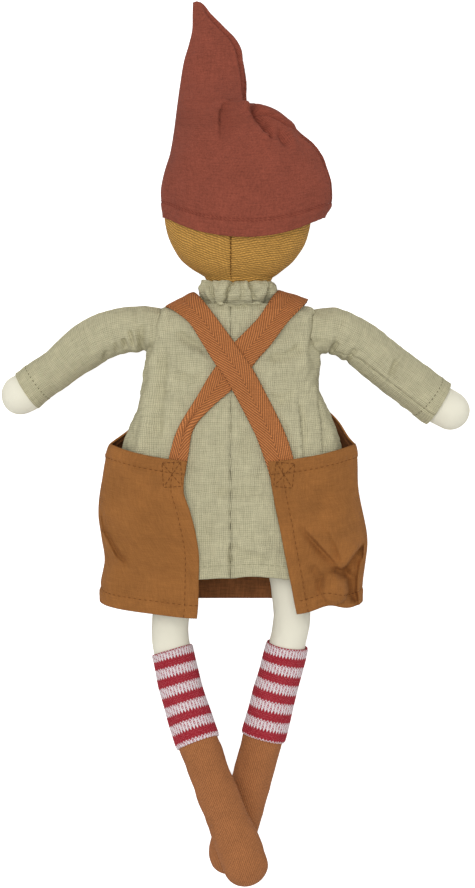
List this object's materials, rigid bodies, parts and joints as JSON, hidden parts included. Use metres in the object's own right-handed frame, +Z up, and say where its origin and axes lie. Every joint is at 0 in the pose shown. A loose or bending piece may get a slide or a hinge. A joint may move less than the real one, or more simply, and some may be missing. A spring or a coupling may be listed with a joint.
{
  "type": "elf doll",
  "caption": "Soft cloth doll with a pointed hat, smock, wrap apron on crossed straps, striped leg warmers and boots, lying on its front with crossed legs.",
  "frame": {"origin": "middle of the doll's footprint, on the surface it lies on", "axes": "+Z up, from the doll's front to its back; +Y from its feet to the tip of its hat; +X towards its right hand"},
  "size_m": [0.255, 0.4782, 0.0681],
  "materials": {
    "cotton_skin": "plain woven cotton, matt",
    "hair_twill": "cotton twill, matt",
    "hat_jersey": "fine cotton jersey, matt",
    "smock_gauze": "crinkled double gauze, matt",
    "apron_cotton": "plain woven cotton, matt",
    "boot_cotton": "fine cotton jersey, matt",
    "strap_tape": "herringbone woven tape, matt",
    "striped_knit": "striped wool knit, matt",
    "filling": "loose polyester fibre",
    "eye_thread": "embroidery thread, satin",
    "elastic": "covered elastic",
    "seam_tape": "woven cotton tape"
  },
  "bodies": {
    "torso": {"body_front_panel": "cotton_skin", "body_back_panel": "cotton_skin", "body_filling": "filling", "tunic_front": "smock_gauze", "tunic_back_left": "smock_gauze", "tunic_back_right": "smock_gauze", "collar": "smock_gauze", "collar_elastic": "elastic", "apron": "apron_cotton", "left_strap": "strap_tape", "right_strap": "strap_tape"},
    "neck": {"neck_skin": "cotton_skin", "neck_filling": "filling"},
    "head": {"face_panel": "cotton_skin", "hair_panel_left": "hair_twill", "hair_panel_right": "hair_twill", "head_filling": "filling", "left_eye": "eye_thread", "right_eye": "eye_thread"},
    "hat": {"hat_back_panel": "hat_jersey", "hat_front_panel": "hat_jersey"},
    "left_arm": {"left_arm_skin": "cotton_skin", "left_arm_filling": "filling", "left_sleeve": "smock_gauze"},
    "right_arm": {"right_arm_skin": "cotton_skin", "right_arm_filling": "filling", "right_sleeve": "smock_gauze"},
    "hips": {"hip_seam": "seam_tape"},
    "left_leg": {"left_leg_skin": "cotton_skin", "left_leg_filling": "filling", "left_boot": "boot_cotton", "left_sock": "striped_knit"},
    "right_leg": {"right_leg_skin": "cotton_skin", "right_leg_filling": "filling", "right_boot": "boot_cotton", "right_sock": "striped_knit"}
  },
  "joints": [
    {"name": "neck_nod", "type": "hinge", "parent": "torso", "child": "neck", "pos_m": [0.00195, 0.06591, 0.02768], "axis": [1, 0, 0], "range_deg": [-20, 5], "deforming": ["collar", "collar_elastic"]},
    {"name": "head_turn", "type": "hinge", "parent": "neck", "child": "head", "pos_m": [0.00195, 0.08956, 0.03368], "axis": [0, 1, 0], "range_deg": [-60, 60]},
    {"name": "hat_lift", "type": "slide", "parent": "head", "child": "hat", "axis": [0, 1, 0], "range_m": [0, 0.12]},
    {"name": "left_shoulder", "type": "hinge", "parent": "torso", "child": "left_arm", "pos_m": [-0.04235, 0.06181, 0.02768], "axis": [0, 0, 1], "range_deg": [-55, 15]},
    {"name": "right_shoulder", "type": "hinge", "parent": "torso", "child": "right_arm", "pos_m": [0.04575, 0.06181, 0.02768], "axis": [0, 0, 1], "range_deg": [-15, 55]},
    {"name": "hip_fold", "type": "hinge", "parent": "torso", "child": "hips", "pos_m": [0.00035, -0.05209, 0.02368], "axis": [1, 0, 0], "range_deg": [-20, 85], "deforming": ["tunic_front", "tunic_back_left", "tunic_back_right", "apron"]},
    {"name": "left_leg_spread", "type": "hinge", "parent": "hips", "child": "left_leg", "pos_m": [-0.02865, -0.06399, 0.02368], "axis": [0, 0, 1], "range_deg": [-25, 0]},
    {"name": "right_leg_spread", "type": "hinge", "parent": "hips", "child": "right_leg", "pos_m": [0.02735, -0.06399, 0.02368], "axis": [0, 0, 1], "range_deg": [0, 25]}
  ]
}
